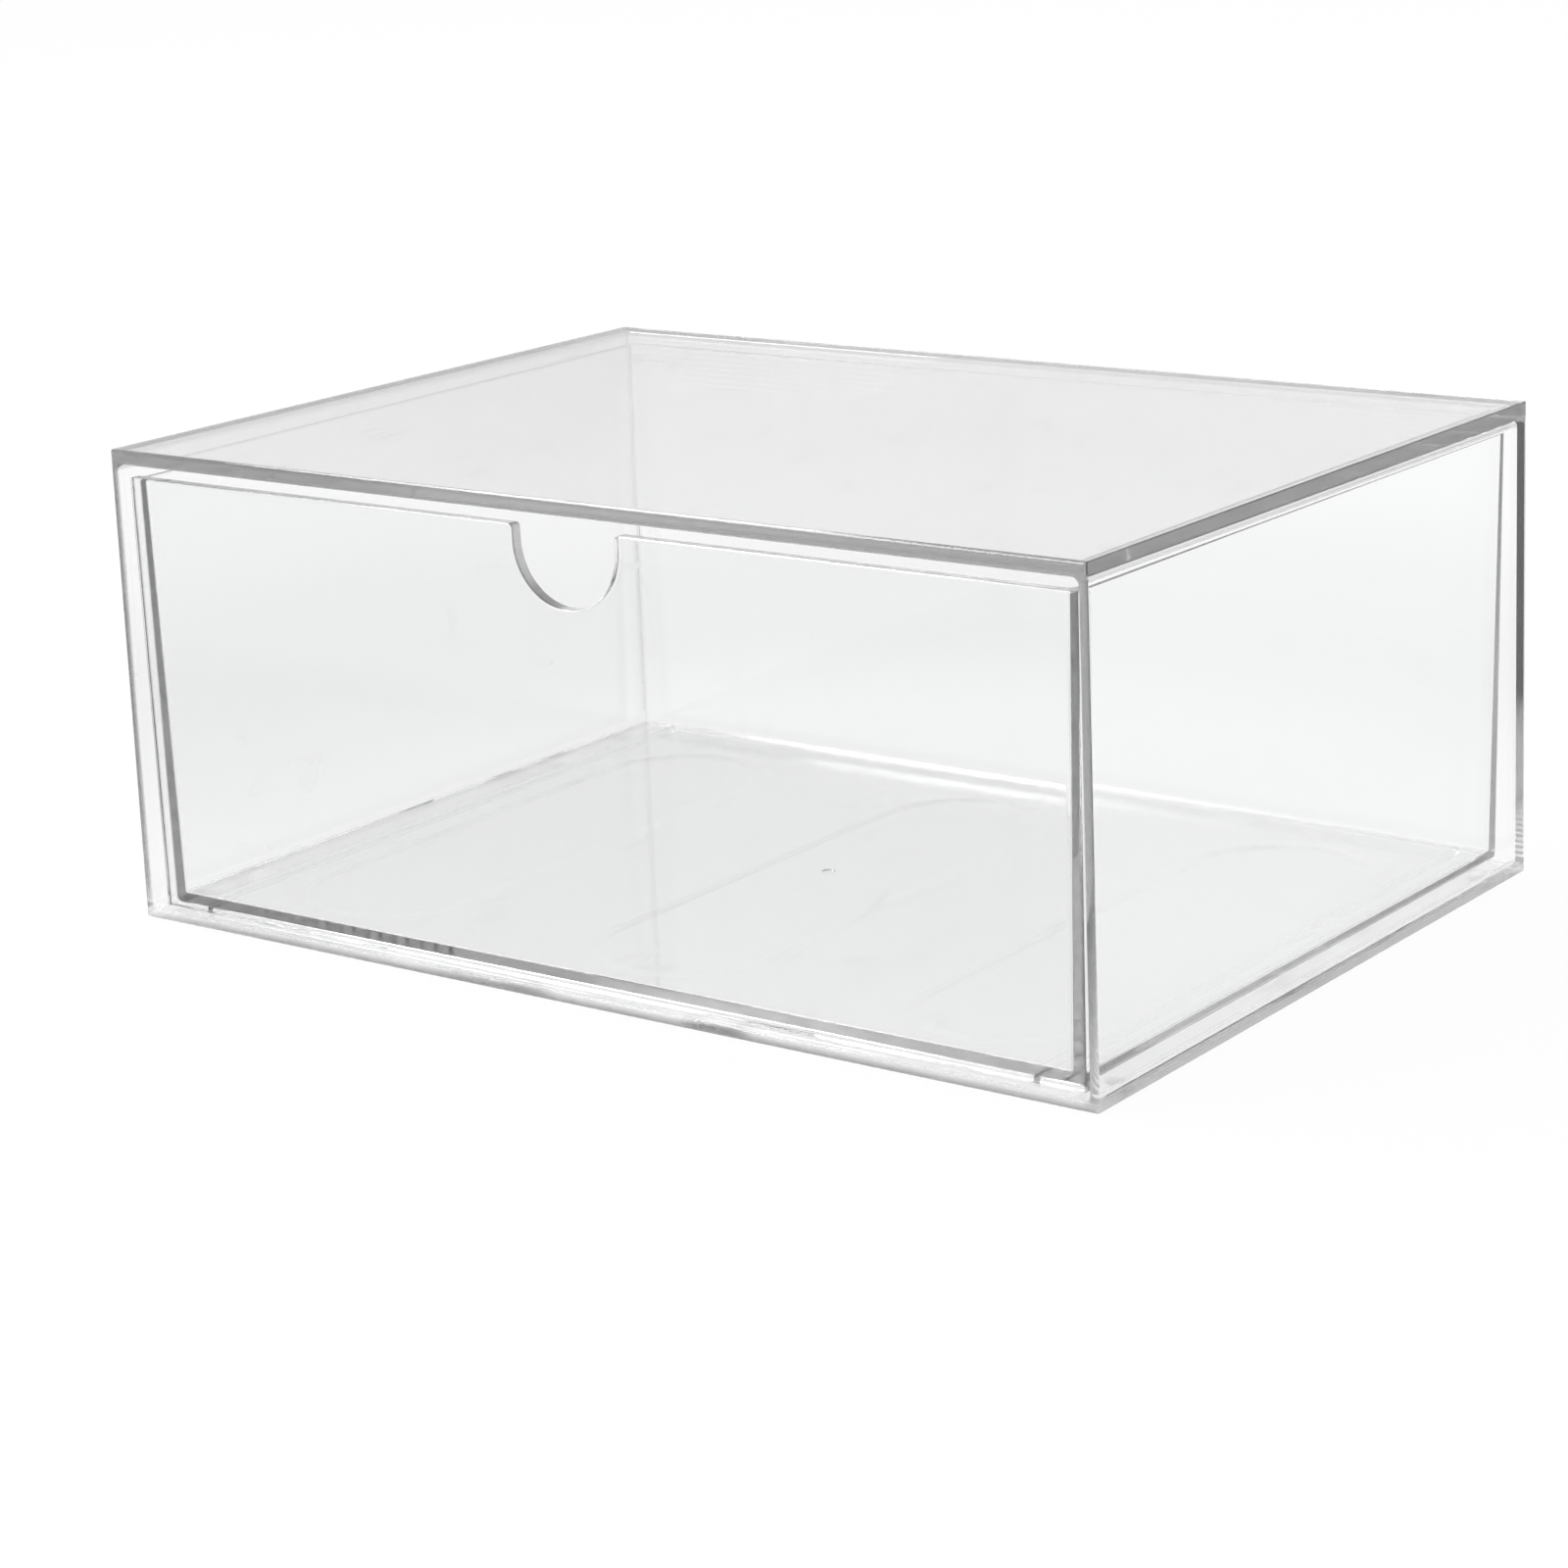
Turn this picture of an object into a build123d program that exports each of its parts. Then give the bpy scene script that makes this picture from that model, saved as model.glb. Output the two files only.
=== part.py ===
"""Clear stackable desk organizer: an open-fronted case, one pull-out drawer bin and four stick-on feet.

Millimetres, +Z up. The origin lies under the middle of the case, on the surface that the feet stand on.
The open front faces -Y and the drawer slides out along -Y.
"""

import os

from build123d import *

# Case: outside
case_width = 330.0
case_depth = 235.0
case_height = 140.0
front_edge_radius = 1.3
case_edge_radius = 0.5

# Case: walls, measured at the open front, and how far the moulding draft thickens them at the back
side_wall = 2.6
side_draft = 0.7
top_thickness = 4.3
top_draft = 1.0
floor_thickness = 2.7
back_wall = 2.6
mouth_corner_radius = 2.2
mouth_edge_radius = 1.25
back_inner_radius = 1.6

# Case: shallow stadiums pressed into the underside
stadium_count = 3
stadium_pitch = 109.0
stadium_width = 58.0
stadium_length = 191.0
stadium_depth = 0.15
stadium_bevel = 4.5

# Feet: small clear discs stuck to the underside with a thin adhesive film
foot_radius = 3.0
foot_height = 0.65
foot_film = 0.05
foot_edge_radius = 0.3
foot_side_inset = 7.5
foot_end_inset = 19.0

# Drawer: gaps to the case
running_gap = 0.3
drawer_top_gap = 4.1
drawer_side_gap = 1.5
drawer_back_gap = 0.4
front_recess = 2.9
panel_floor_gap = 0.8

# Drawer: front panel, which stands out past the sides of the bin behind it
panel_thickness = 3.9
panel_overhang = 2.3
panel_edge_radius = 1.0
panel_foot_radius = 0.5
panel_root_radius = 0.8

# Drawer: runner ribs under the floor
rib_height = 1.8
rib_width = 1.9
rib_side_inset = 14.9
rib_end_radius = 1.2
rib_back_inset = 4.0

# Drawer: moulding draft, as the lean of each wall from the floor up to the top edge
side_lean = 1.45
front_lean = 0.5
back_lean = 2.0

# Drawer: walls at the top edge, how much thicker they are at the floor, and their roundings.
# The rim is rounded by at most the rim's share of the panel's root radius, which it runs round.
drawer_side_wall = 1.8
drawer_back_wall = 2.4
wall_growth = 1.2
panel_growth = 0.4
drawer_floor = 2.6
drawer_corner_radius = 3.0
drawer_inner_radius = 1.4
drawer_base_radius = 1.6
drawer_floor_radius = 0.7
drawer_edge_radius = 0.7
rim_share = 0.9

# Drawer: finger notch in the front wall and the round gate mark in the floor
notch_width = 34.6
notch_depth = 21.8
notch_shoulder_radius = 1.4
gate_radius = 2.0
gate_depth = 0.4

# Heights and depths that follow from the sizes above
front = -case_depth / 2
back = case_depth / 2
case_base = foot_height + foot_film
case_top = case_base + case_height
ceiling_front = case_top - top_thickness
floor_top = case_base + floor_thickness
cavity_back = back - back_wall

drawer_rib_base = floor_top + running_gap
drawer_base = drawer_rib_base + rib_height
drawer_top = ceiling_front - drawer_top_gap
drawer_floor_top = drawer_base + drawer_floor
panel_base = floor_top + panel_floor_gap
panel_half_width = case_width / 2 - side_wall - drawer_side_gap
drawer_half_width = panel_half_width - panel_overhang
drawer_front = front + front_recess
bin_front = drawer_front + panel_edge_radius
drawer_back = cavity_back - drawer_back_gap
drawer_rim_radius = min(drawer_edge_radius, rim_share * panel_root_radius)


def upright_section(y, half_width, low, high, radius):
    """Returns a round-cornered rectangle standing across the case at depth y."""
    plane = Plane(origin=(0, y, (low + high) / 2), x_dir=(1, 0, 0), z_dir=(0, -1, 0))
    return plane * RectangleRounded(2 * half_width, high - low, radius)


def level_section(z, half_width, near, far, radius):
    """Returns a round-cornered rectangle lying level at height z, from near to far along Y."""
    return Pos(0, (near + far) / 2, z) * RectangleRounded(2 * half_width, far - near, radius)


def case_block():
    """Returns the case's outer block, well rounded round the front and lightly on its other edges."""
    block = Pos(0, 0, case_base + case_height / 2) * Box(case_width, case_depth, case_height)
    block = fillet(block.faces().sort_by(Axis.Y)[0].edges(), front_edge_radius)
    side_edges = block.edges().filter_by(Axis.Y)
    back_edges = block.faces().sort_by(Axis.Y)[-1].edges()
    return fillet(side_edges + back_edges, case_edge_radius)


def case_cavity():
    """Returns the space inside the case: it narrows towards the back by the moulding draft."""
    mouth_half = case_width / 2 - side_wall
    mouth = upright_section(front, mouth_half, floor_top, ceiling_front, mouth_corner_radius)
    far_end = upright_section(
        cavity_back, mouth_half - side_draft, floor_top, ceiling_front - top_draft, mouth_corner_radius
    )
    space = loft([mouth, far_end], ruled=True)
    return fillet(space.faces().sort_by(Axis.Y)[-1].edges(), back_inner_radius)


def floor_stadium(x):
    """Returns one bevelled stadium, cut up into the underside at x."""
    low = SlotOverall(stadium_length, stadium_width, rotation=90)
    high = SlotOverall(stadium_length - 2 * stadium_bevel, stadium_width - 2 * stadium_bevel, rotation=90)
    sections = [Pos(x, 0, case_base) * low, Pos(x, 0, case_base + stadium_depth) * high]
    return loft(sections, ruled=True)


def make_case():
    """Returns the case: one moulding with top, sides, back and floor, open at the front."""
    case = case_block() - case_cavity()
    for step in range(stadium_count):
        case -= floor_stadium((step - (stadium_count - 1) / 2) * stadium_pitch)
    mouth_half = case_width / 2 - side_wall
    mouth_edges = case.edges().filter_by_position(Axis.Y, front, front)
    mouth_edges = mouth_edges.filter_by_position(Axis.X, -mouth_half, mouth_half)
    mouth_edges = mouth_edges.filter_by_position(Axis.Z, floor_top, ceiling_front)
    return fillet(mouth_edges, mouth_edge_radius)


def make_foot():
    """Returns one clear foot standing on the origin."""
    foot = Cylinder(foot_radius, foot_height, align=(Align.CENTER, Align.CENTER, Align.MIN))
    return fillet(foot.edges().sort_by(Axis.Z)[0], foot_edge_radius)


def make_feet():
    """Returns the four feet by name, each in its corner under the case."""
    x = case_width / 2 - foot_side_inset
    y = case_depth / 2 - foot_end_inset
    return {
        f"foot_{end}_{side}": Pos(side_sign * x, end_sign * y, 0) * make_foot()
        for end, end_sign in (("front", -1), ("back", 1))
        for side, side_sign in (("left", -1), ("right", 1))
    }


def front_panel():
    """Returns the drawer's front panel, which leans back a little and hangs close over the case's floor."""
    low_front = drawer_front + front_lean
    low = level_section(
        panel_base, panel_half_width - side_lean, low_front, low_front + panel_thickness, panel_edge_radius
    )
    high = level_section(
        drawer_top, panel_half_width, drawer_front, drawer_front + panel_thickness, panel_edge_radius
    )
    panel = loft([low, high], ruled=True)
    return fillet(panel.faces().sort_by(Axis.Z)[0].edges(), panel_foot_radius)


def bin_block():
    """Returns the bin's outer block, which widens from its floor to its top edge and starts inside the panel."""
    low = level_section(
        drawer_base,
        drawer_half_width - side_lean,
        bin_front + front_lean,
        drawer_back - back_lean,
        drawer_corner_radius,
    )
    high = level_section(drawer_top, drawer_half_width, bin_front, drawer_back, drawer_corner_radius)
    block = loft([low, high], ruled=True)
    return fillet(block.faces().sort_by(Axis.Z)[0].edges(), drawer_base_radius)


def drawer_outside():
    """Returns the panel and the bin's block in one, with a rounded root where the panel stands out."""
    outside = front_panel() + bin_block()
    root = drawer_front + panel_thickness
    upright = outside.edges().filter_by(lambda edge: edge.length > (drawer_top - drawer_base) / 2)
    upright = upright.filter_by_position(Axis.X, -drawer_half_width, drawer_half_width)
    roots = upright.filter_by_position(Axis.Y, root, root + front_lean)
    return fillet(roots, panel_root_radius)


def drawer_space():
    """Returns the space inside the drawer, with a rounded edge all round the floor."""
    low = level_section(
        drawer_floor_top,
        drawer_half_width - side_lean - drawer_side_wall - wall_growth,
        drawer_front + front_lean + panel_thickness + panel_growth,
        drawer_back - back_lean - drawer_back_wall - wall_growth,
        drawer_inner_radius,
    )
    high = level_section(
        drawer_top,
        drawer_half_width - drawer_side_wall,
        drawer_front + panel_thickness,
        drawer_back - drawer_back_wall,
        drawer_inner_radius,
    )
    space = loft([low, high], ruled=True)
    return fillet(space.faces().sort_by(Axis.Z)[0].edges(), drawer_floor_radius)


def finger_notch():
    """Returns the U-shaped cut through the drawer's front wall."""
    half = notch_width / 2
    centre = drawer_top - notch_depth + half
    upper = drawer_top + half
    outline = Pos(0, centre) * Circle(half)
    outline += Pos(0, (centre + upper) / 2) * Rectangle(notch_width, upper - centre)
    plane = Plane(origin=(0, drawer_front, 0), x_dir=(1, 0, 0), z_dir=(0, -1, 0))
    reach = panel_thickness + front_lean + panel_growth + drawer_inner_radius
    return extrude(plane * outline, reach, both=True)


def runner_rib(side):
    """Returns one runner rib under the drawer's floor, on the given side."""
    near = drawer_front + front_lean + panel_thickness / 2
    far = drawer_back - back_lean - rib_back_inset
    height = rib_height + drawer_floor / 2
    x = side * (drawer_half_width - rib_side_inset)
    rib = Pos(x, (near + far) / 2, drawer_rib_base + height / 2) * Box(rib_width, far - near, height)
    low_ends = rib.edges().filter_by(Axis.X).group_by(Axis.Z)[0]
    return fillet(low_ends, rib_end_radius)


def notch_seams(edges):
    """Returns those of the edges that run front to back across the notch's wall."""
    reach = notch_width / 2 + 2 * notch_shoulder_radius
    return edges.filter_by(Axis.Y).filter_by_position(Axis.X, -reach, reach)


def round_top(shell):
    """Returns the shell with the notch's shoulders and its whole top edge rounded."""
    at_top = shell.edges().filter_by_position(Axis.Z, drawer_top, drawer_top)
    shell = fillet(notch_seams(at_top), notch_shoulder_radius)
    lowest = drawer_top - notch_depth - drawer_rim_radius
    upper = shell.edges().filter_by_position(Axis.Z, lowest, drawer_top)
    return fillet(upper - notch_seams(upper), drawer_rim_radius)


def make_drawer():
    """Returns the drawer bin: one moulding with its finger notch, runner ribs and gate mark."""
    drawer = round_top(drawer_outside() - drawer_space() - finger_notch())
    gate_middle = (drawer_front + front_lean + drawer_back - back_lean) / 2
    drawer -= Pos(0, gate_middle, drawer_floor_top) * Cylinder(gate_radius, 2 * gate_depth)
    for side in (-1, 1):
        drawer += runner_rib(side)
    return drawer


def main():
    """Builds every piece and writes one STEP file for each."""
    os.makedirs("parts", exist_ok=True)
    pieces = {"case": make_case(), "drawer": make_drawer(), **make_feet()}
    for name, piece in pieces.items():
        export_step(piece, f"parts/{name}.step")


if __name__ == "__main__":
    main()
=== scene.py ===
"""Clear plastic desk organizer with one pull-out drawer, dressed on its frame in a white studio."""

import logging
import math
from dataclasses import dataclass, replace
from enum import Enum

import bmesh
import bpy
from mathutils import Matrix, Vector

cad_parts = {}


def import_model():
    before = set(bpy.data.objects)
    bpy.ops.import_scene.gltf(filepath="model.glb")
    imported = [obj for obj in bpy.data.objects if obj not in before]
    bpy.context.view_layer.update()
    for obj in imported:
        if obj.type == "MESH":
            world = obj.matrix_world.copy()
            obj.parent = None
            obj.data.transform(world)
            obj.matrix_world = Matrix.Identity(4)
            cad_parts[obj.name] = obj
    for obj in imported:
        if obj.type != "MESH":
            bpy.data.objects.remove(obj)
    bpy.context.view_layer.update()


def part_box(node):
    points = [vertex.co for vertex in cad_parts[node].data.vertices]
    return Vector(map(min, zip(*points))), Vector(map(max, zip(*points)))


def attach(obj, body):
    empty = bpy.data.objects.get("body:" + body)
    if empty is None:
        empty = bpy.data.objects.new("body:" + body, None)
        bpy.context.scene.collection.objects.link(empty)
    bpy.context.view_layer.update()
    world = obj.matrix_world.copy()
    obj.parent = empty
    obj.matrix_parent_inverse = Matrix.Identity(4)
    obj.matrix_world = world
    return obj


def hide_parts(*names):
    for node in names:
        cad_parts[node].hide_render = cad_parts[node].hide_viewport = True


log = logging.getLogger("desk_organizer")

IMAGE_SIDE = 1600
SENSOR_MM = 36.0
MM = 0.001
RIGHT_ANGLE = 90.0


class Body(Enum):
    """The two rigid bodies of the organizer."""

    CASE = "case"
    DRAWER = "drawer"


class Slot(Enum):
    """A finish from the record for the scene's own pieces, which no piece here is given."""

    FOOT = "clear_foot"


class Ray(Enum):
    """Kinds of ray that a studio surface answers in its own way."""

    CAMERA = "Is Camera Ray"
    REFLECTED = "Is Glossy Ray"
    THROUGH_PLASTIC = "Is Transmission Ray"


def feed(tree: bpy.types.NodeTree, place: bpy.types.NodeSocket, value: object) -> None:
    """Links a socket to an input, or sets the input to a plain value.

    Args:
        tree: The node tree that holds the input.
        place: The input.
        value: A socket, a number, a colour or a vector.
    """
    if isinstance(value, bpy.types.NodeSocket):
        tree.links.new(value, place)
    else:
        place.default_value = value


def math_node(tree: bpy.types.NodeTree, operation: str, *values: object) -> bpy.types.NodeSocket:
    """Adds a Math node.

    Args:
        tree: The node tree that gets it.
        operation: Blender's name of the operation.
        values: Sockets or numbers, one for each input.

    Returns:
        The node's result.
    """
    node = tree.nodes.new("ShaderNodeMath")
    node.operation = operation
    for place, value in zip(node.inputs, values):
        feed(tree, place, value)
    return node.outputs[0]


def ramp(
    tree: bpy.types.NodeTree, value: object, start: float, end: float, low: float = 0.0, high: float = 1.0
) -> bpy.types.NodeSocket:
    """Adds a smooth step from one level to another.

    Args:
        tree: The node tree that gets it.
        value: The socket that drives the step.
        start: Where the step starts.
        end: Where the step ends.
        low: Level before the start.
        high: Level after the end.

    Returns:
        The level's socket.
    """
    node = tree.nodes.new("ShaderNodeMapRange")
    node.interpolation_type = "SMOOTHSTEP"
    places = ("Value", "From Min", "From Max", "To Min", "To Max")
    for name, entry in zip(places, (value, start, end, low, high)):
        feed(tree, node.inputs[name], entry)
    return node.outputs["Result"]


def new_tree(material: bpy.types.Material) -> bpy.types.NodeTree:
    """Empties a material's node tree.

    Args:
        material: The material to clear.

    Returns:
        Its node tree, with no nodes.
    """
    material.use_nodes = True
    material.node_tree.nodes.clear()
    return material.node_tree


@dataclass(frozen=True)
class Effect:
    """A shader effect that several finishes share, kept as one node group.

    Attributes:
        name: Name of the node group.
        inputs: Names of its number inputs, with their first values.
        output: Name of its one output.
    """

    name: str
    inputs: tuple[tuple[str, float], ...]
    output: str

    def group(self) -> bpy.types.NodeTree:
        """Returns the node group, made the first time that it is asked for."""
        tree = bpy.data.node_groups.get(self.name)
        if tree is None:
            tree = bpy.data.node_groups.new(self.name, "ShaderNodeTree")
            for name, value in self.inputs:
                socket = tree.interface.new_socket(name, in_out="INPUT", socket_type="NodeSocketFloat")
                socket.default_value = value
            tree.interface.new_socket(self.output, in_out="OUTPUT", socket_type="NodeSocketFloat")
            entry = tree.nodes.new("NodeGroupInput")
            result = self.pattern(tree, entry.outputs)
            leave = tree.nodes.new("NodeGroupOutput")
            tree.links.new(result, leave.inputs[self.output])
        return tree

    def pattern(self, tree: bpy.types.NodeTree, entry: bpy.types.NodeOutputs) -> bpy.types.NodeSocket:
        """Makes the effect's nodes.

        Args:
            tree: The group's node tree.
            entry: The group's inputs.

        Returns:
            The socket that leaves the group.
        """
        raise NotImplementedError

    def place(self, tree: bpy.types.NodeTree, **values: float) -> bpy.types.NodeSocket:
        """Puts the effect into a material.

        Args:
            tree: The material's node tree.
            values: Input values, with the inputs' names in small letters and underscores.

        Returns:
            The effect's output.
        """
        node = tree.nodes.new("ShaderNodeGroup")
        node.node_tree = self.group()
        for name, _ in self.inputs:
            node.inputs[name].default_value = values[name.lower().replace(" ", "_")]
        return node.outputs[self.output]


@dataclass(frozen=True)
class MouldedWaves(Effect):
    """Slow waves that the cooling plastic leaves in a flat moulded face.

    Attributes:
        detail: Finer waves on the slow ones.
        detail_share: Share of each finer set of waves.
    """

    name: str = "moulded_waves"
    inputs: tuple[tuple[str, float], ...] = (("Waves Per Metre", 14.0), ("Stretch", 2.5))
    output: str = "Height"
    detail: float = 1.5
    detail_share: float = 0.4

    def pattern(self, tree: bpy.types.NodeTree, entry: bpy.types.NodeOutputs) -> bpy.types.NodeSocket:
        """Makes soft noise, drawn out along the way that the plastic flowed."""
        place = tree.nodes.new("ShaderNodeTexCoord")
        stretch = tree.nodes.new("ShaderNodeCombineXYZ")
        for axis in ("X", "Z"):
            stretch.inputs[axis].default_value = 1.0
        tree.links.new(math_node(tree, "DIVIDE", 1.0, entry["Stretch"]), stretch.inputs["Y"])
        along = tree.nodes.new("ShaderNodeVectorMath")
        along.operation = "MULTIPLY"
        tree.links.new(place.outputs["Object"], along.inputs[0])
        tree.links.new(stretch.outputs[0], along.inputs[1])
        noise = tree.nodes.new("ShaderNodeTexNoise")
        noise.inputs["Detail"].default_value = self.detail
        noise.inputs["Roughness"].default_value = self.detail_share
        tree.links.new(along.outputs[0], noise.inputs["Vector"])
        tree.links.new(entry["Waves Per Metre"], noise.inputs["Scale"])
        return noise.outputs["Fac"]


@dataclass(frozen=True)
class FineScratches(Effect):
    """Hair-thin wipe marks, scattered and short.

    Attributes:
        turn: Turn of the marks about each axis, in radians.
        draw: Share of each axis in the cells' spacing, lower for cells that are drawn out along it.
        patches: Patches of marks per metre.
        bare: Level of the patches' noise below which there are no marks.
        full: Level of that noise above which all marks show.
    """

    name: str = "fine_scratches"
    inputs: tuple[tuple[str, float], ...] = (("Marks Per Metre", 55.0), ("Width", 0.02))
    output: str = "Mask"
    turn: tuple[float, float, float] = (0.35, 0.6, 0.9)
    draw: tuple[float, float, float] = (1.0, 0.16, 0.45)
    patches: float = 38.0
    bare: float = 0.52
    full: float = 0.66

    def pattern(self, tree: bpy.types.NodeTree, entry: bpy.types.NodeOutputs) -> bpy.types.NodeSocket:
        """Makes thin lines along the borders of drawn-out cells, broken up by soft noise."""
        place = tree.nodes.new("ShaderNodeTexCoord")
        turn = tree.nodes.new("ShaderNodeMapping")
        turn.inputs["Rotation"].default_value = self.turn
        turn.inputs["Scale"].default_value = self.draw
        cells = tree.nodes.new("ShaderNodeTexVoronoi")
        cells.feature = "DISTANCE_TO_EDGE"
        patches = tree.nodes.new("ShaderNodeTexNoise")
        patches.inputs["Scale"].default_value = self.patches
        tree.links.new(place.outputs["Object"], turn.inputs["Vector"])
        tree.links.new(turn.outputs["Vector"], cells.inputs["Vector"])
        tree.links.new(entry["Marks Per Metre"], cells.inputs["Scale"])
        tree.links.new(place.outputs["Object"], patches.inputs["Vector"])
        line = math_node(tree, "LESS_THAN", cells.outputs["Distance"], entry["Width"])
        return math_node(tree, "MULTIPLY", line, ramp(tree, patches.outputs["Fac"], self.bare, self.full))


@dataclass(frozen=True)
class MattBorder(Effect):
    """Matt patches low down and along the outer walls.

    Attributes:
        soft_edge: Step in the noise from a patch's edge to its full matt.
    """

    name: str = "matt_border"
    inputs: tuple[tuple[str, float], ...] = (
        ("Height", 0.002),
        ("Half Width", 0.165),
        ("Half Depth", 0.118),
        ("Border", 0.03),
        ("Patches Per Metre", 22.0),
        ("Cover", 0.5),
    )
    output: str = "Mask"
    soft_edge: float = 0.12

    def pattern(self, tree: bpy.types.NodeTree, entry: bpy.types.NodeOutputs) -> bpy.types.NodeSocket:
        """Makes a mask of soft patches, below a height and near the outer walls."""
        place = tree.nodes.new("ShaderNodeTexCoord").outputs["Object"]
        spot = tree.nodes.new("ShaderNodeSeparateXYZ")
        patches = tree.nodes.new("ShaderNodeTexNoise")
        tree.links.new(place, spot.inputs[0])
        tree.links.new(place, patches.inputs["Vector"])
        tree.links.new(entry["Patches Per Metre"], patches.inputs["Scale"])
        edges = []
        for axis, half in (("X", "Half Width"), ("Y", "Half Depth")):
            reach = math_node(tree, "ADD", math_node(tree, "ABSOLUTE", spot.outputs[axis]), entry["Border"])
            edges.append(math_node(tree, "GREATER_THAN", reach, entry[half]))
        below = math_node(tree, "LESS_THAN", spot.outputs["Z"], entry["Height"])
        border = math_node(tree, "MULTIPLY", below, math_node(tree, "MAXIMUM", *edges))
        bare = math_node(tree, "SUBTRACT", entry["Cover"], self.soft_edge)
        return math_node(tree, "MULTIPLY", border, ramp(tree, patches.outputs["Fac"], bare, entry["Cover"]))


@dataclass(frozen=True)
class WornFace(Effect):
    """The even wear of the left outer face."""

    name: str = "worn_face"
    inputs: tuple[tuple[str, float], ...] = (("Half Width", 0.165), ("Depth", 0.0004))
    output: str = "Mask"

    def pattern(self, tree: bpy.types.NodeTree, entry: bpy.types.NodeOutputs) -> bpy.types.NodeSocket:
        """Makes a mask of what lies within a thin layer at the left."""
        place = tree.nodes.new("ShaderNodeTexCoord").outputs["Object"]
        spot = tree.nodes.new("ShaderNodeSeparateXYZ")
        tree.links.new(place, spot.inputs[0])
        layer = math_node(tree, "SUBTRACT", entry["Depth"], entry["Half Width"])
        return math_node(tree, "LESS_THAN", spot.outputs["X"], layer)


@dataclass(frozen=True)
class MattZone:
    """A border with matt patches, low on the outside of a piece.

    Attributes:
        reach: How far it reaches up from the underside, in metres.
        border: How far it reaches in from the outer walls, in metres.
        roughness: Roughness that the patches add.
        patches: Patches per metre.
        cover: Level of the noise above which a patch is full, lower for more patches.
    """

    reach: float
    border: float
    roughness: float
    patches: float
    cover: float


@dataclass(frozen=True)
class ClearPlastic:
    """Polished clear moulded plastic, grey only where light runs a long way inside it.

    Attributes:
        name: Name of the material.
        tint: Colour that one face lets through.
        ior: Index of refraction.
        polish: Roughness of the bare faces.
        scratched: Roughness added in the wipe marks.
        marks: Cells of wipe marks per metre.
        mark_width: Width of a wipe mark, as a share of its cell.
        matt_zones: Borders with matt patches.
        worn: Roughness added on the left outer face.
        worn_depth: Thickness of the worn layer, in metres.
        base: Height of the piece's underside, in metres.
        footprint: Half the width and half the depth of the piece, in metres.
        density: Light lost per metre inside.
        waves: Waves per metre in the moulded faces.
        wave_depth: Height of those waves, in metres.
        wave_stretch: How far the waves are drawn out along the depth.
    """

    name: str
    tint: tuple[float, float, float, float] = (0.997, 0.999, 0.999, 1.0)
    ior: float = 1.5
    polish: float = 0.03
    scratched: float = 0.05
    marks: float = 55.0
    mark_width: float = 0.02
    matt_zones: tuple[MattZone, ...] = ()
    worn: float = 0.0
    worn_depth: float = 0.0004
    base: float = 0.0
    footprint: tuple[float, float] = (0.0, 0.0)
    density: float = 3.0
    waves: float = 14.0
    wave_depth: float = 0.000012
    wave_stretch: float = 2.5

    def material(self) -> bpy.types.Material:
        """Returns the material, made from nodes."""
        material = bpy.data.materials.new(self.name)
        tree = new_tree(material)
        surface = tree.nodes.new("ShaderNodeBsdfPrincipled")
        surface.inputs["Base Color"].default_value = self.tint
        surface.inputs["IOR"].default_value = self.ior
        surface.inputs["Transmission Weight"].default_value = 1.0
        tree.links.new(self.roughness(tree), surface.inputs["Roughness"])
        bump = tree.nodes.new("ShaderNodeBump")
        bump.inputs["Distance"].default_value = self.wave_depth
        waves = MouldedWaves().place(tree, waves_per_metre=self.waves, stretch=self.wave_stretch)
        tree.links.new(waves, bump.inputs["Height"])
        tree.links.new(bump.outputs["Normal"], surface.inputs["Normal"])
        inside = tree.nodes.new("ShaderNodeVolumeAbsorption")
        inside.inputs["Color"].default_value = (0.0, 0.0, 0.0, 1.0)
        inside.inputs["Density"].default_value = self.density
        output = tree.nodes.new("ShaderNodeOutputMaterial")
        tree.links.new(surface.outputs["BSDF"], output.inputs["Surface"])
        tree.links.new(inside.outputs["Volume"], output.inputs["Volume"])
        return material

    def roughness(self, tree: bpy.types.NodeTree) -> bpy.types.NodeSocket:
        """Adds up the polish, the wipe marks, the matt patches and the wear.

        Args:
            tree: The material's node tree.

        Returns:
            The roughness.
        """
        marks = FineScratches().place(tree, marks_per_metre=self.marks, width=self.mark_width)
        level = math_node(tree, "MULTIPLY_ADD", marks, self.scratched, self.polish)
        for zone in self.matt_zones:
            patches = MattBorder().place(
                tree,
                height=self.base + zone.reach,
                half_width=self.footprint[0],
                half_depth=self.footprint[1],
                border=zone.border,
                patches_per_metre=zone.patches,
                cover=zone.cover,
            )
            level = math_node(tree, "MULTIPLY_ADD", patches, zone.roughness, level)
        if self.worn > 0.0:
            worn = WornFace().place(tree, half_width=self.footprint[0], depth=self.worn_depth)
            level = math_node(tree, "MULTIPLY_ADD", worn, self.worn, level)
        return math_node(tree, "MINIMUM", level, 1.0)


@dataclass
class Moulding:
    """A moulded sub-assembly that keeps its solid from the frame.

    Attributes:
        body: The body that it belongs to.
        node: Name of its solid.
        finish: Its finish.
    """

    body: Body
    node: str
    finish: ClearPlastic

    def dress(self) -> None:
        """Gives the solid its finish."""
        material = self.finish.material()
        for place in bpy.data.objects[self.node].material_slots:
            place.material = material
        log.info("%s: %s on the %s body", self.node, self.finish.name, self.body.value)


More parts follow.
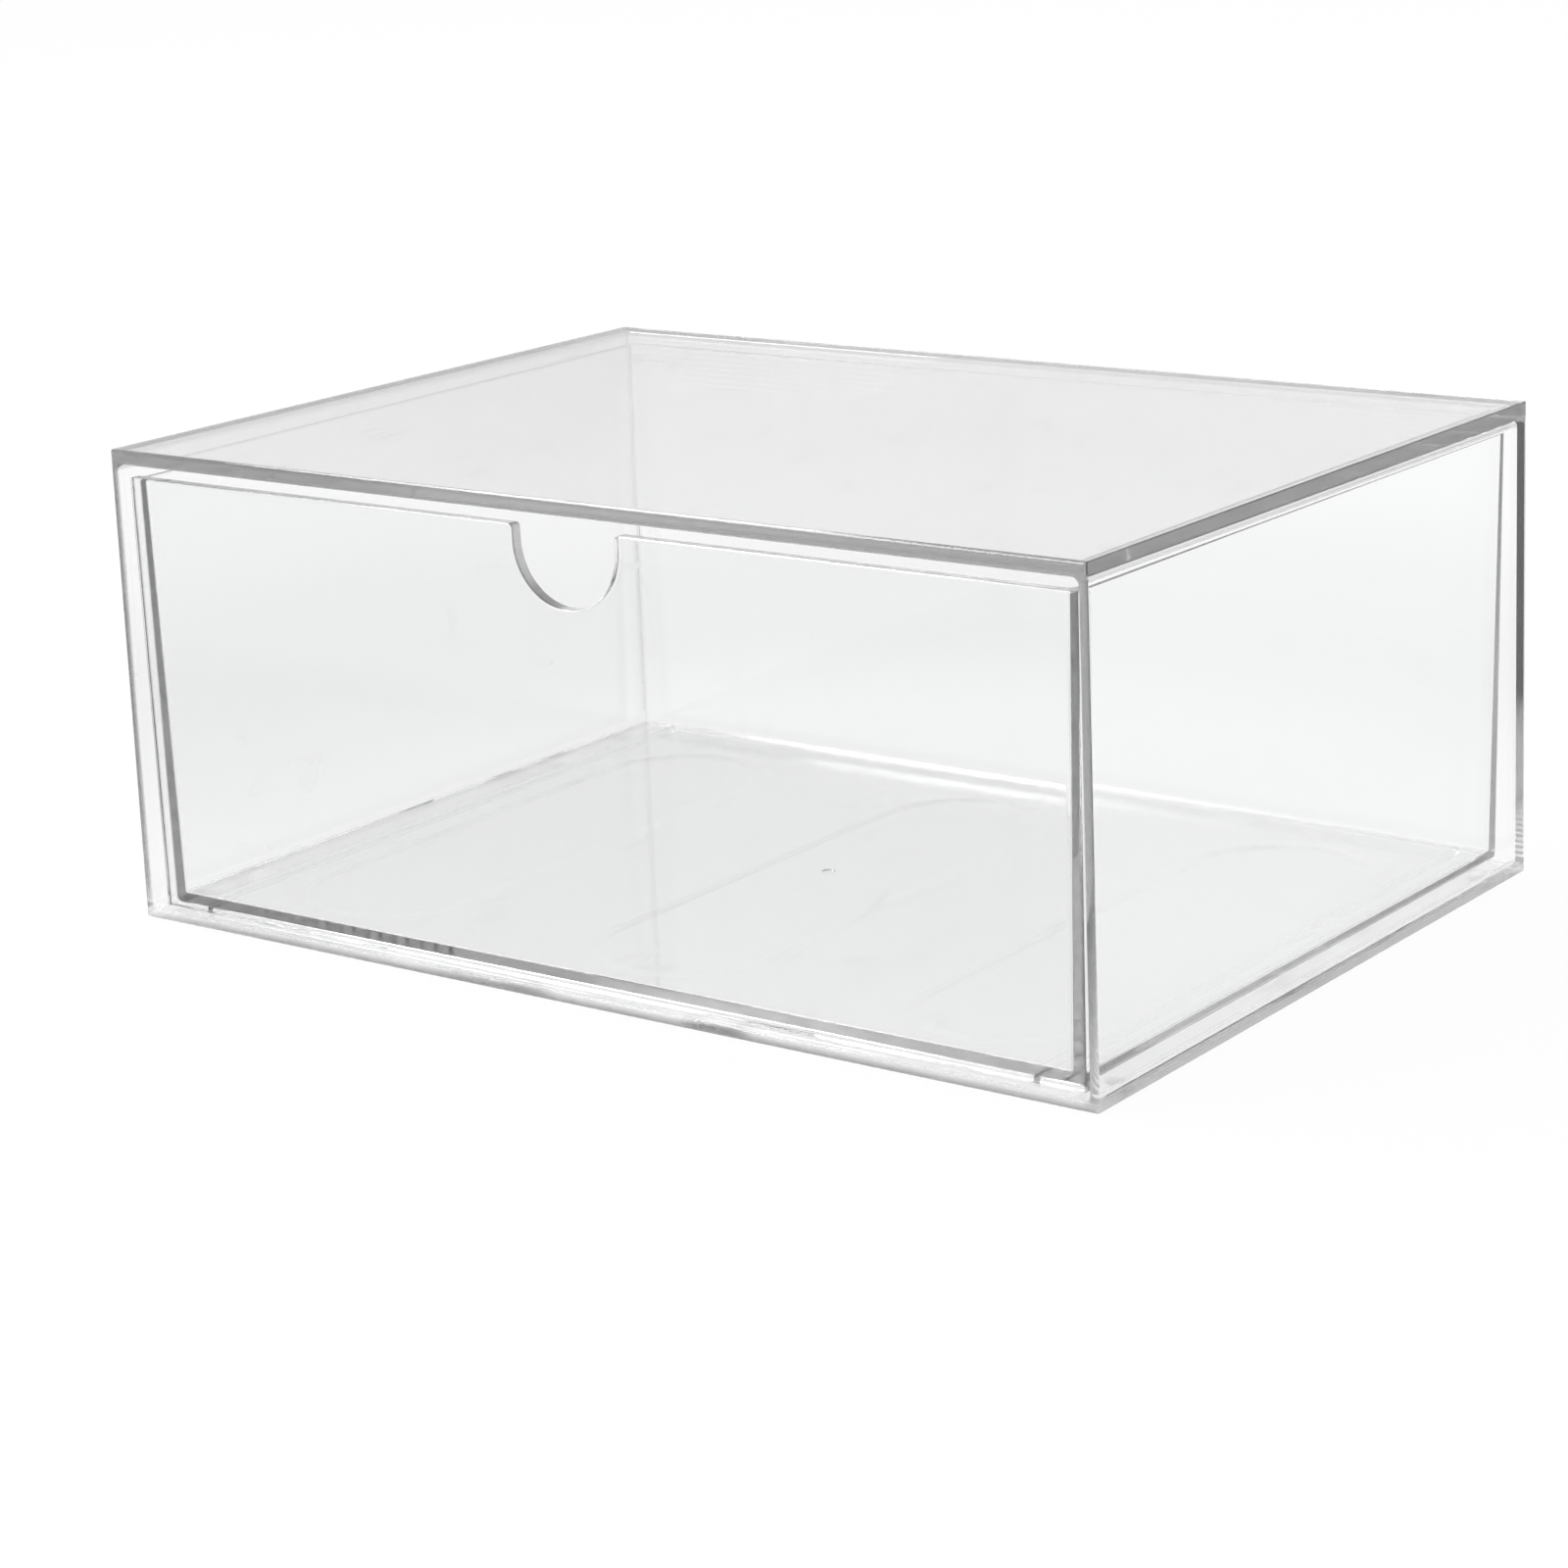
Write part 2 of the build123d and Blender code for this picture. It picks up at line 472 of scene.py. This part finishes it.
@dataclass
class Case(Moulding):
    """The open-fronted case, worn at the left and matt in patches under its floor's border and low edges."""

    body: Body = Body.CASE
    node: str = "case"
    finish: ClearPlastic = ClearPlastic(
        "case_plastic",
        worn=0.2,
        matt_zones=(
            MattZone(reach=0.0004, border=0.013, roughness=1.0, patches=16.0, cover=0.45),
            MattZone(reach=0.0026, border=0.0015, roughness=0.5, patches=16.0, cover=0.42),
        ),
    )

    def dress(self) -> None:
        """Fits the finish to the solid's size, then gives it to the solid."""
        low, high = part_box(self.node)
        self.finish = replace(self.finish, base=low[2], footprint=(high[0], high[1]))
        super().dress()


@dataclass
class Drawer(Moulding):
    """The pull-out bin with its front panel."""

    body: Body = Body.DRAWER
    node: str = "drawer"
    finish: ClearPlastic = ClearPlastic("drawer_plastic", scratched=0.08)


@dataclass
class Feet:
    """Four clear domed pads under the corners of the case, one mesh.

    Attributes:
        nodes: Names of the solids that the pads stand for.
        sides: Corners round a pad.
        rings: Rings from a pad's top to its lowest point.
        fullness: Power of the pad's rounded outline, higher for a squarer one.
        merge_mm: Distance within which a pad's points are one.
        sharp_angle: Angle between faces above which their edge is sharp, in degrees.
        finish: The pads' finish.
    """

    nodes: tuple[str, ...] = ("foot_front_left", "foot_front_right", "foot_back_left", "foot_back_right")
    sides: int = 40
    rings: int = 14
    fullness: float = 3.2
    merge_mm: float = 0.01
    sharp_angle: float = 50.0
    finish: ClearPlastic = ClearPlastic("foot_plastic", polish=0.18, density=6.0)

    def tree(self) -> bpy.types.NodeTree:
        """Returns the node tree that turns one pad and sets it on the corners of a rectangle."""
        tree = bpy.data.node_groups.new("corner_pads", "GeometryNodeTree")
        for name in ("Spacing X", "Spacing Y", "Pad Radius", "Pad Height", "Fullness"):
            tree.interface.new_socket(name, in_out="INPUT", socket_type="NodeSocketFloat")
        tree.interface.new_socket("Finish", in_out="INPUT", socket_type="NodeSocketMaterial")
        tree.interface.new_socket("Pads", in_out="OUTPUT", socket_type="NodeSocketGeometry")
        entry = tree.nodes.new("NodeGroupInput").outputs
        corners = tree.nodes.new("GeometryNodeMeshGrid")
        corners.inputs["Vertices X"].default_value = 2
        corners.inputs["Vertices Y"].default_value = 2
        tree.links.new(entry["Spacing X"], corners.inputs["Size X"])
        tree.links.new(entry["Spacing Y"], corners.inputs["Size Y"])
        spread = tree.nodes.new("GeometryNodeInstanceOnPoints")
        realize = tree.nodes.new("GeometryNodeRealizeInstances")
        finish = tree.nodes.new("GeometryNodeSetMaterial")
        leave = tree.nodes.new("NodeGroupOutput")
        tree.links.new(corners.outputs["Mesh"], spread.inputs["Points"])
        tree.links.new(self.pad(tree, entry), spread.inputs["Instance"])
        tree.links.new(spread.outputs["Instances"], realize.inputs["Geometry"])
        tree.links.new(realize.outputs["Geometry"], finish.inputs["Geometry"])
        tree.links.new(entry["Finish"], finish.inputs["Material"])
        tree.links.new(finish.outputs["Geometry"], leave.inputs["Pads"])
        return tree

    def pad(self, tree: bpy.types.NodeTree, entry: bpy.types.NodeOutputs) -> bpy.types.NodeSocket:
        """Turns one pad about its upright axis, from its flat top to its rounded underside.

        Args:
            tree: The node tree that gets the pad.
            entry: The tree's inputs.

        Returns:
            The pad's mesh.
        """
        axis = tree.nodes.new("GeometryNodeCurvePrimitiveLine")
        top = tree.nodes.new("ShaderNodeCombineXYZ")
        tree.links.new(entry["Pad Height"], top.inputs["Z"])
        tree.links.new(top.outputs[0], axis.inputs["Start"])
        axis.inputs["End"].default_value = (0.0, 0.0, 0.0)
        rings = tree.nodes.new("GeometryNodeResampleCurve")
        rings.inputs["Count"].default_value = self.rings
        tree.links.new(axis.outputs["Curve"], rings.inputs["Curve"])
        way_down = tree.nodes.new("GeometryNodeSplineParameter").outputs["Factor"]
        bent = math_node(tree, "SUBTRACT", 1.0, math_node(tree, "POWER", way_down, entry["Fullness"]))
        share = math_node(tree, "POWER", bent, math_node(tree, "DIVIDE", 1.0, entry["Fullness"]))
        circle = tree.nodes.new("GeometryNodeCurvePrimitiveCircle")
        circle.inputs["Resolution"].default_value = self.sides
        circle.inputs["Radius"].default_value = 1.0
        skin = tree.nodes.new("GeometryNodeCurveToMesh")
        skin.inputs["Fill Caps"].default_value = True
        tree.links.new(rings.outputs["Curve"], skin.inputs["Curve"])
        tree.links.new(circle.outputs["Curve"], skin.inputs["Profile Curve"])
        tree.links.new(math_node(tree, "MULTIPLY", share, entry["Pad Radius"]), skin.inputs["Scale"])
        closed = tree.nodes.new("GeometryNodeMergeByDistance")
        closed.inputs["Distance"].default_value = self.merge_mm * MM
        tree.links.new(skin.outputs["Mesh"], closed.inputs["Geometry"])
        return closed.outputs["Geometry"]

    def build(self) -> bpy.types.Object:
        """Returns the pads in one mesh, where the frame has its feet."""
        low, high = (Vector(corner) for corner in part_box(self.nodes[0]))
        middle = (low + high) / 2
        tree = self.tree()
        pads = bpy.data.objects.new("feet", bpy.data.meshes.new("feet"))
        bpy.context.scene.collection.objects.link(pads)
        modifier = pads.modifiers.new("corner_pads", "NODES")
        modifier.node_group = tree
        values = {
            "Spacing X": 2 * abs(middle.x),
            "Spacing Y": 2 * abs(middle.y),
            "Pad Radius": (high.x - low.x) / 2,
            "Pad Height": high.z,
            "Fullness": self.fullness,
            "Finish": self.finish.material(),
        }
        for socket in tree.interface.items_tree:
            if socket.name in values:
                modifier[socket.identifier] = values[socket.name]
        bpy.context.view_layer.update()
        shape = bpy.data.meshes.new_from_object(pads.evaluated_get(bpy.context.evaluated_depsgraph_get()))
        pads.modifiers.remove(modifier)
        shape.materials.clear()
        shape.materials.append(values["Finish"])
        pads.data = shape
        return pads

    def dress(self) -> None:
        """Builds the pads, rounds their shading and hangs them on the case in place of its plain feet."""
        pads = self.build()
        work = bmesh.new()
        work.from_mesh(pads.data)
        bmesh.ops.recalc_face_normals(work, faces=work.faces)
        work.to_mesh(pads.data)
        work.free()
        pads.data.shade_smooth()
        pads.data.set_sharp_from_angle(angle=math.radians(self.sharp_angle))
        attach(pads, Body.CASE.value)
        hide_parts(*self.nodes)
        log.info("feet: %s on the %s body", self.finish.name, Body.CASE.value)


@dataclass
class PhotoView:
    """The camera at the photograph's place.

    Attributes:
        place_mm: The camera's place in the part's frame.
        azimuth: Turn round the object from the front towards its right side, in degrees.
        elevation: Height above the horizon, in degrees.
        roll: Turn about the line of sight, in degrees.
        focal_px: Focal length in the image's pixels.
        centre_px: The pixel that the line of sight meets.
    """

    place_mm: tuple[float, float, float] = (662.90, -896.95, 347.14)
    azimuth: float = 35.977
    elevation: float = 13.566
    roll: float = -2.057
    focal_px: float = 4046.4
    centre_px: tuple[float, float] = (875.0, 650.0)

    def build(self) -> bpy.types.Object:
        """Returns the camera, set as the scene's own."""
        data = bpy.data.cameras.new("photo_camera")
        data.sensor_width = SENSOR_MM
        data.lens = self.focal_px / IMAGE_SIDE * SENSOR_MM
        data.shift_x = 0.5 - self.centre_px[0] / IMAGE_SIDE
        data.shift_y = self.centre_px[1] / IMAGE_SIDE - 0.5
        camera = bpy.data.objects.new("photo_camera", data)
        bpy.context.scene.collection.objects.link(camera)
        turn = Matrix.Rotation(math.radians(self.azimuth), 4, "Z")
        tilt = Matrix.Rotation(math.radians(RIGHT_ANGLE - self.elevation), 4, "X")
        lean = Matrix.Rotation(math.radians(self.roll), 4, "Z")
        camera.matrix_world = Matrix.Translation(Vector(self.place_mm) * MM) @ turn @ tilt @ lean
        bpy.context.scene.camera = camera
        return camera


@dataclass(frozen=True)
class Lamp:
    """One soft lamp that points at the object.

    Attributes:
        name: The lamp's name.
        place: Its place, in metres.
        sides: Lengths of its level side and of its other side, in metres.
        watts: Its power.
        aim: The spot that it points at, in metres.
    """

    name: str
    place: tuple[float, float, float]
    sides: tuple[float, float]
    watts: float
    aim: tuple[float, float, float] = (0.0, 0.0, 0.07)

    def build(self) -> None:
        """Adds the lamp to the scene."""
        data = bpy.data.lights.new(self.name, "AREA")
        data.shape = "RECTANGLE"
        data.size, data.size_y = self.sides
        data.energy = self.watts
        lamp = bpy.data.objects.new(self.name, data)
        bpy.context.scene.collection.objects.link(lamp)
        lamp.location = self.place
        way = Vector(self.aim) - lamp.location
        lamp.rotation_mode = "QUATERNION"
        lamp.rotation_quaternion = way.to_track_quat("-Z", "Y")


@dataclass
class Studio:
    """A white floor and surround with soft lamps.

    Attributes:
        floor_side: Side of the floor, in metres.
        floor_colour: Colour of the floor where light falls on it.
        surround: Light from the surround on matt surfaces.
        shadow_share: Share of the floor's look that follows the light on it.
        painted_reflection_level: Level of the floor before the organizer in a reflection, a painted shade on
            a floor that is white to the eye.
        gloss_start: Where the floor starts to lighten in a reflection, along the depth and in metres.
        gloss_end: Where it is white in a reflection.
        painted_shadow_depth: How much a painted shadow darkens the ring of floor round the organizer, seen
            through the plastic.
        ring: Distances at which that painted shadow starts, is full, starts to fade and ends, in metres.
        room_level: Level in a reflection of the room in front of the organizer.
        backdrop: Way from the organizer to the lit backdrop.
        room_start: Where the room starts to lighten, as the cosine of the angle to that way.
        room_end: Where it is white, as the same cosine.
        lamps: The soft lamps.
        bounces: Turns that light may take inside the clear walls.
    """

    floor_side: float = 12.0
    floor_colour: tuple[float, float, float, float] = (0.95, 0.95, 0.95, 1.0)
    surround: float = 0.95
    shadow_share: float = 0.04
    painted_reflection_level: float = 0.2
    gloss_start: float = -0.25
    gloss_end: float = 0.02
    painted_shadow_depth: float = 0.08
    ring: tuple[float, float, float, float] = (0.2, 0.34, 0.42, 0.6)
    room_level: float = 0.45
    backdrop: tuple[float, float, float] = (-0.5, 0.86, 0.0)
    room_start: float = -0.4
    room_end: float = 0.6
    lamps: tuple[Lamp, ...] = (
        Lamp("key_lamp", (-1.25, -0.35, 1.8), (3.6, 0.5), 45.0),
        Lamp("fill_lamp", (1.6, -1.2, 1.2), (1.6, 1.6), 3.0),
    )
    bounces: int = 64

    def build(self) -> None:
        """Makes the floor, the surround and the lamps."""
        scene = bpy.context.scene
        scene.view_settings.view_transform = "Standard"
        scene.cycles.max_bounces = self.bounces
        scene.cycles.glossy_bounces = self.bounces
        scene.cycles.transmission_bounces = self.bounces
        self.floor()
        self.world()
        for lamp in self.lamps:
            lamp.build()

    def ray_masks(self, tree: bpy.types.NodeTree) -> dict[Ray, bpy.types.NodeSocket]:
        """Adds a mask for each kind of ray that shows the background.

        Args:
            tree: The node tree that gets them.

        Returns:
            The masks, of which one at most is 1.
        """
        path = tree.nodes.new("ShaderNodeLightPath").outputs
        masks = {}
        free = 1.0
        for ray in (Ray.CAMERA, Ray.THROUGH_PLASTIC, Ray.REFLECTED):
            masks[ray] = math_node(tree, "MULTIPLY", path[ray.value], free)
            free = math_node(tree, "SUBTRACT", free, masks[ray])
        return masks

    def floor(self) -> None:
        """Makes the floor: white to the eye, with a soft cast shadow on it and a painted shadow round the
        organizer, seen through the plastic.
        """
        half = self.floor_side / 2
        mesh = bpy.data.meshes.new("floor")
        corners = [(-half, -half, 0.0), (half, -half, 0.0), (half, half, 0.0), (-half, half, 0.0)]
        mesh.from_pydata(corners, [], [(0, 1, 2, 3)])
        floor = bpy.data.objects.new("floor", mesh)
        bpy.context.scene.collection.objects.link(floor)
        material = bpy.data.materials.new("white_floor")
        tree = new_tree(material)
        matt = tree.nodes.new("ShaderNodeBsdfDiffuse")
        matt.inputs["Color"].default_value = self.floor_colour
        white = tree.nodes.new("ShaderNodeEmission")
        masks = self.ray_masks(tree)
        spot = tree.nodes.new("ShaderNodeTexCoord")
        away = tree.nodes.new("ShaderNodeVectorMath")
        away.operation = "LENGTH"
        tree.links.new(spot.outputs["Object"], away.inputs[0])
        # Painted shadow: the floor's emission seen through the plastic is dimmed in a ring round the
        # organizer.
        shade = ramp(tree, away.outputs["Value"], self.ring[0], self.ring[1], 0.0, self.painted_shadow_depth)
        fade = ramp(tree, away.outputs["Value"], self.ring[2], self.ring[3], 1.0, 0.0)
        through = math_node(tree, "SUBTRACT", 1.0, math_node(tree, "MULTIPLY", shade, fade))
        depth = tree.nodes.new("ShaderNodeSeparateXYZ")
        tree.links.new(spot.outputs["Object"], depth.inputs[0])
        # Painted shade: in reflections the floor before the organizer is dimmed, though it is white to the
        # eye.
        painted_reflection_shade = ramp(tree, depth.outputs["Y"], self.gloss_start, self.gloss_end, self.painted_reflection_level, 1.0)
        level = math_node(tree, "MULTIPLY_ADD", masks[Ray.REFLECTED], painted_reflection_shade, masks[Ray.CAMERA])
        level = math_node(tree, "MULTIPLY_ADD", masks[Ray.THROUGH_PLASTIC], through, level)
        tree.links.new(level, white.inputs["Strength"])
        seen = math_node(tree, "ADD", masks[Ray.CAMERA], masks[Ray.REFLECTED])
        seen = math_node(tree, "ADD", seen, masks[Ray.THROUGH_PLASTIC])
        mix = tree.nodes.new("ShaderNodeMixShader")
        output = tree.nodes.new("ShaderNodeOutputMaterial")
        tree.links.new(math_node(tree, "MULTIPLY", seen, 1.0 - self.shadow_share), mix.inputs[0])
        tree.links.new(matt.outputs[0], mix.inputs[1])
        tree.links.new(white.outputs[0], mix.inputs[2])
        tree.links.new(mix.outputs[0], output.inputs["Surface"])
        mesh.materials.append(material)

    def world(self) -> None:
        """Makes the surround: white behind the object, dimmer in front of it and as a light."""
        world = bpy.data.worlds.new("studio")
        bpy.context.scene.world = world
        world.use_nodes = True
        tree = world.node_tree
        tree.nodes.clear()
        way = tree.nodes.new("ShaderNodeTexCoord")
        towards = tree.nodes.new("ShaderNodeVectorMath")
        towards.operation = "DOT_PRODUCT"
        towards.inputs[1].default_value = self.backdrop
        tree.links.new(way.outputs["Generated"], towards.inputs[0])
        room = ramp(tree, towards.outputs["Value"], self.room_start, self.room_end, self.room_level, 1.0)
        masks = self.ray_masks(tree)
        straight = math_node(tree, "ADD", masks[Ray.CAMERA], masks[Ray.THROUGH_PLASTIC])
        light = math_node(tree, "SUBTRACT", 1.0, math_node(tree, "ADD", straight, masks[Ray.REFLECTED]))
        level = math_node(tree, "MULTIPLY_ADD", masks[Ray.REFLECTED], room, straight)
        level = math_node(tree, "MULTIPLY_ADD", light, self.surround, level)
        backdrop = tree.nodes.new("ShaderNodeBackground")
        output = tree.nodes.new("ShaderNodeOutputWorld")
        tree.links.new(level, backdrop.inputs["Strength"])
        tree.links.new(backdrop.outputs[0], output.inputs["Surface"])


def main() -> None:
    """Dresses the organizer, then sets up the camera and the studio."""
    logging.basicConfig(level=logging.INFO, format="%(message)s")
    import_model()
    Case().dress()
    Drawer().dress()
    Feet().dress()
    PhotoView().build()
    Studio().build()


if __name__ == "__main__":
    main()
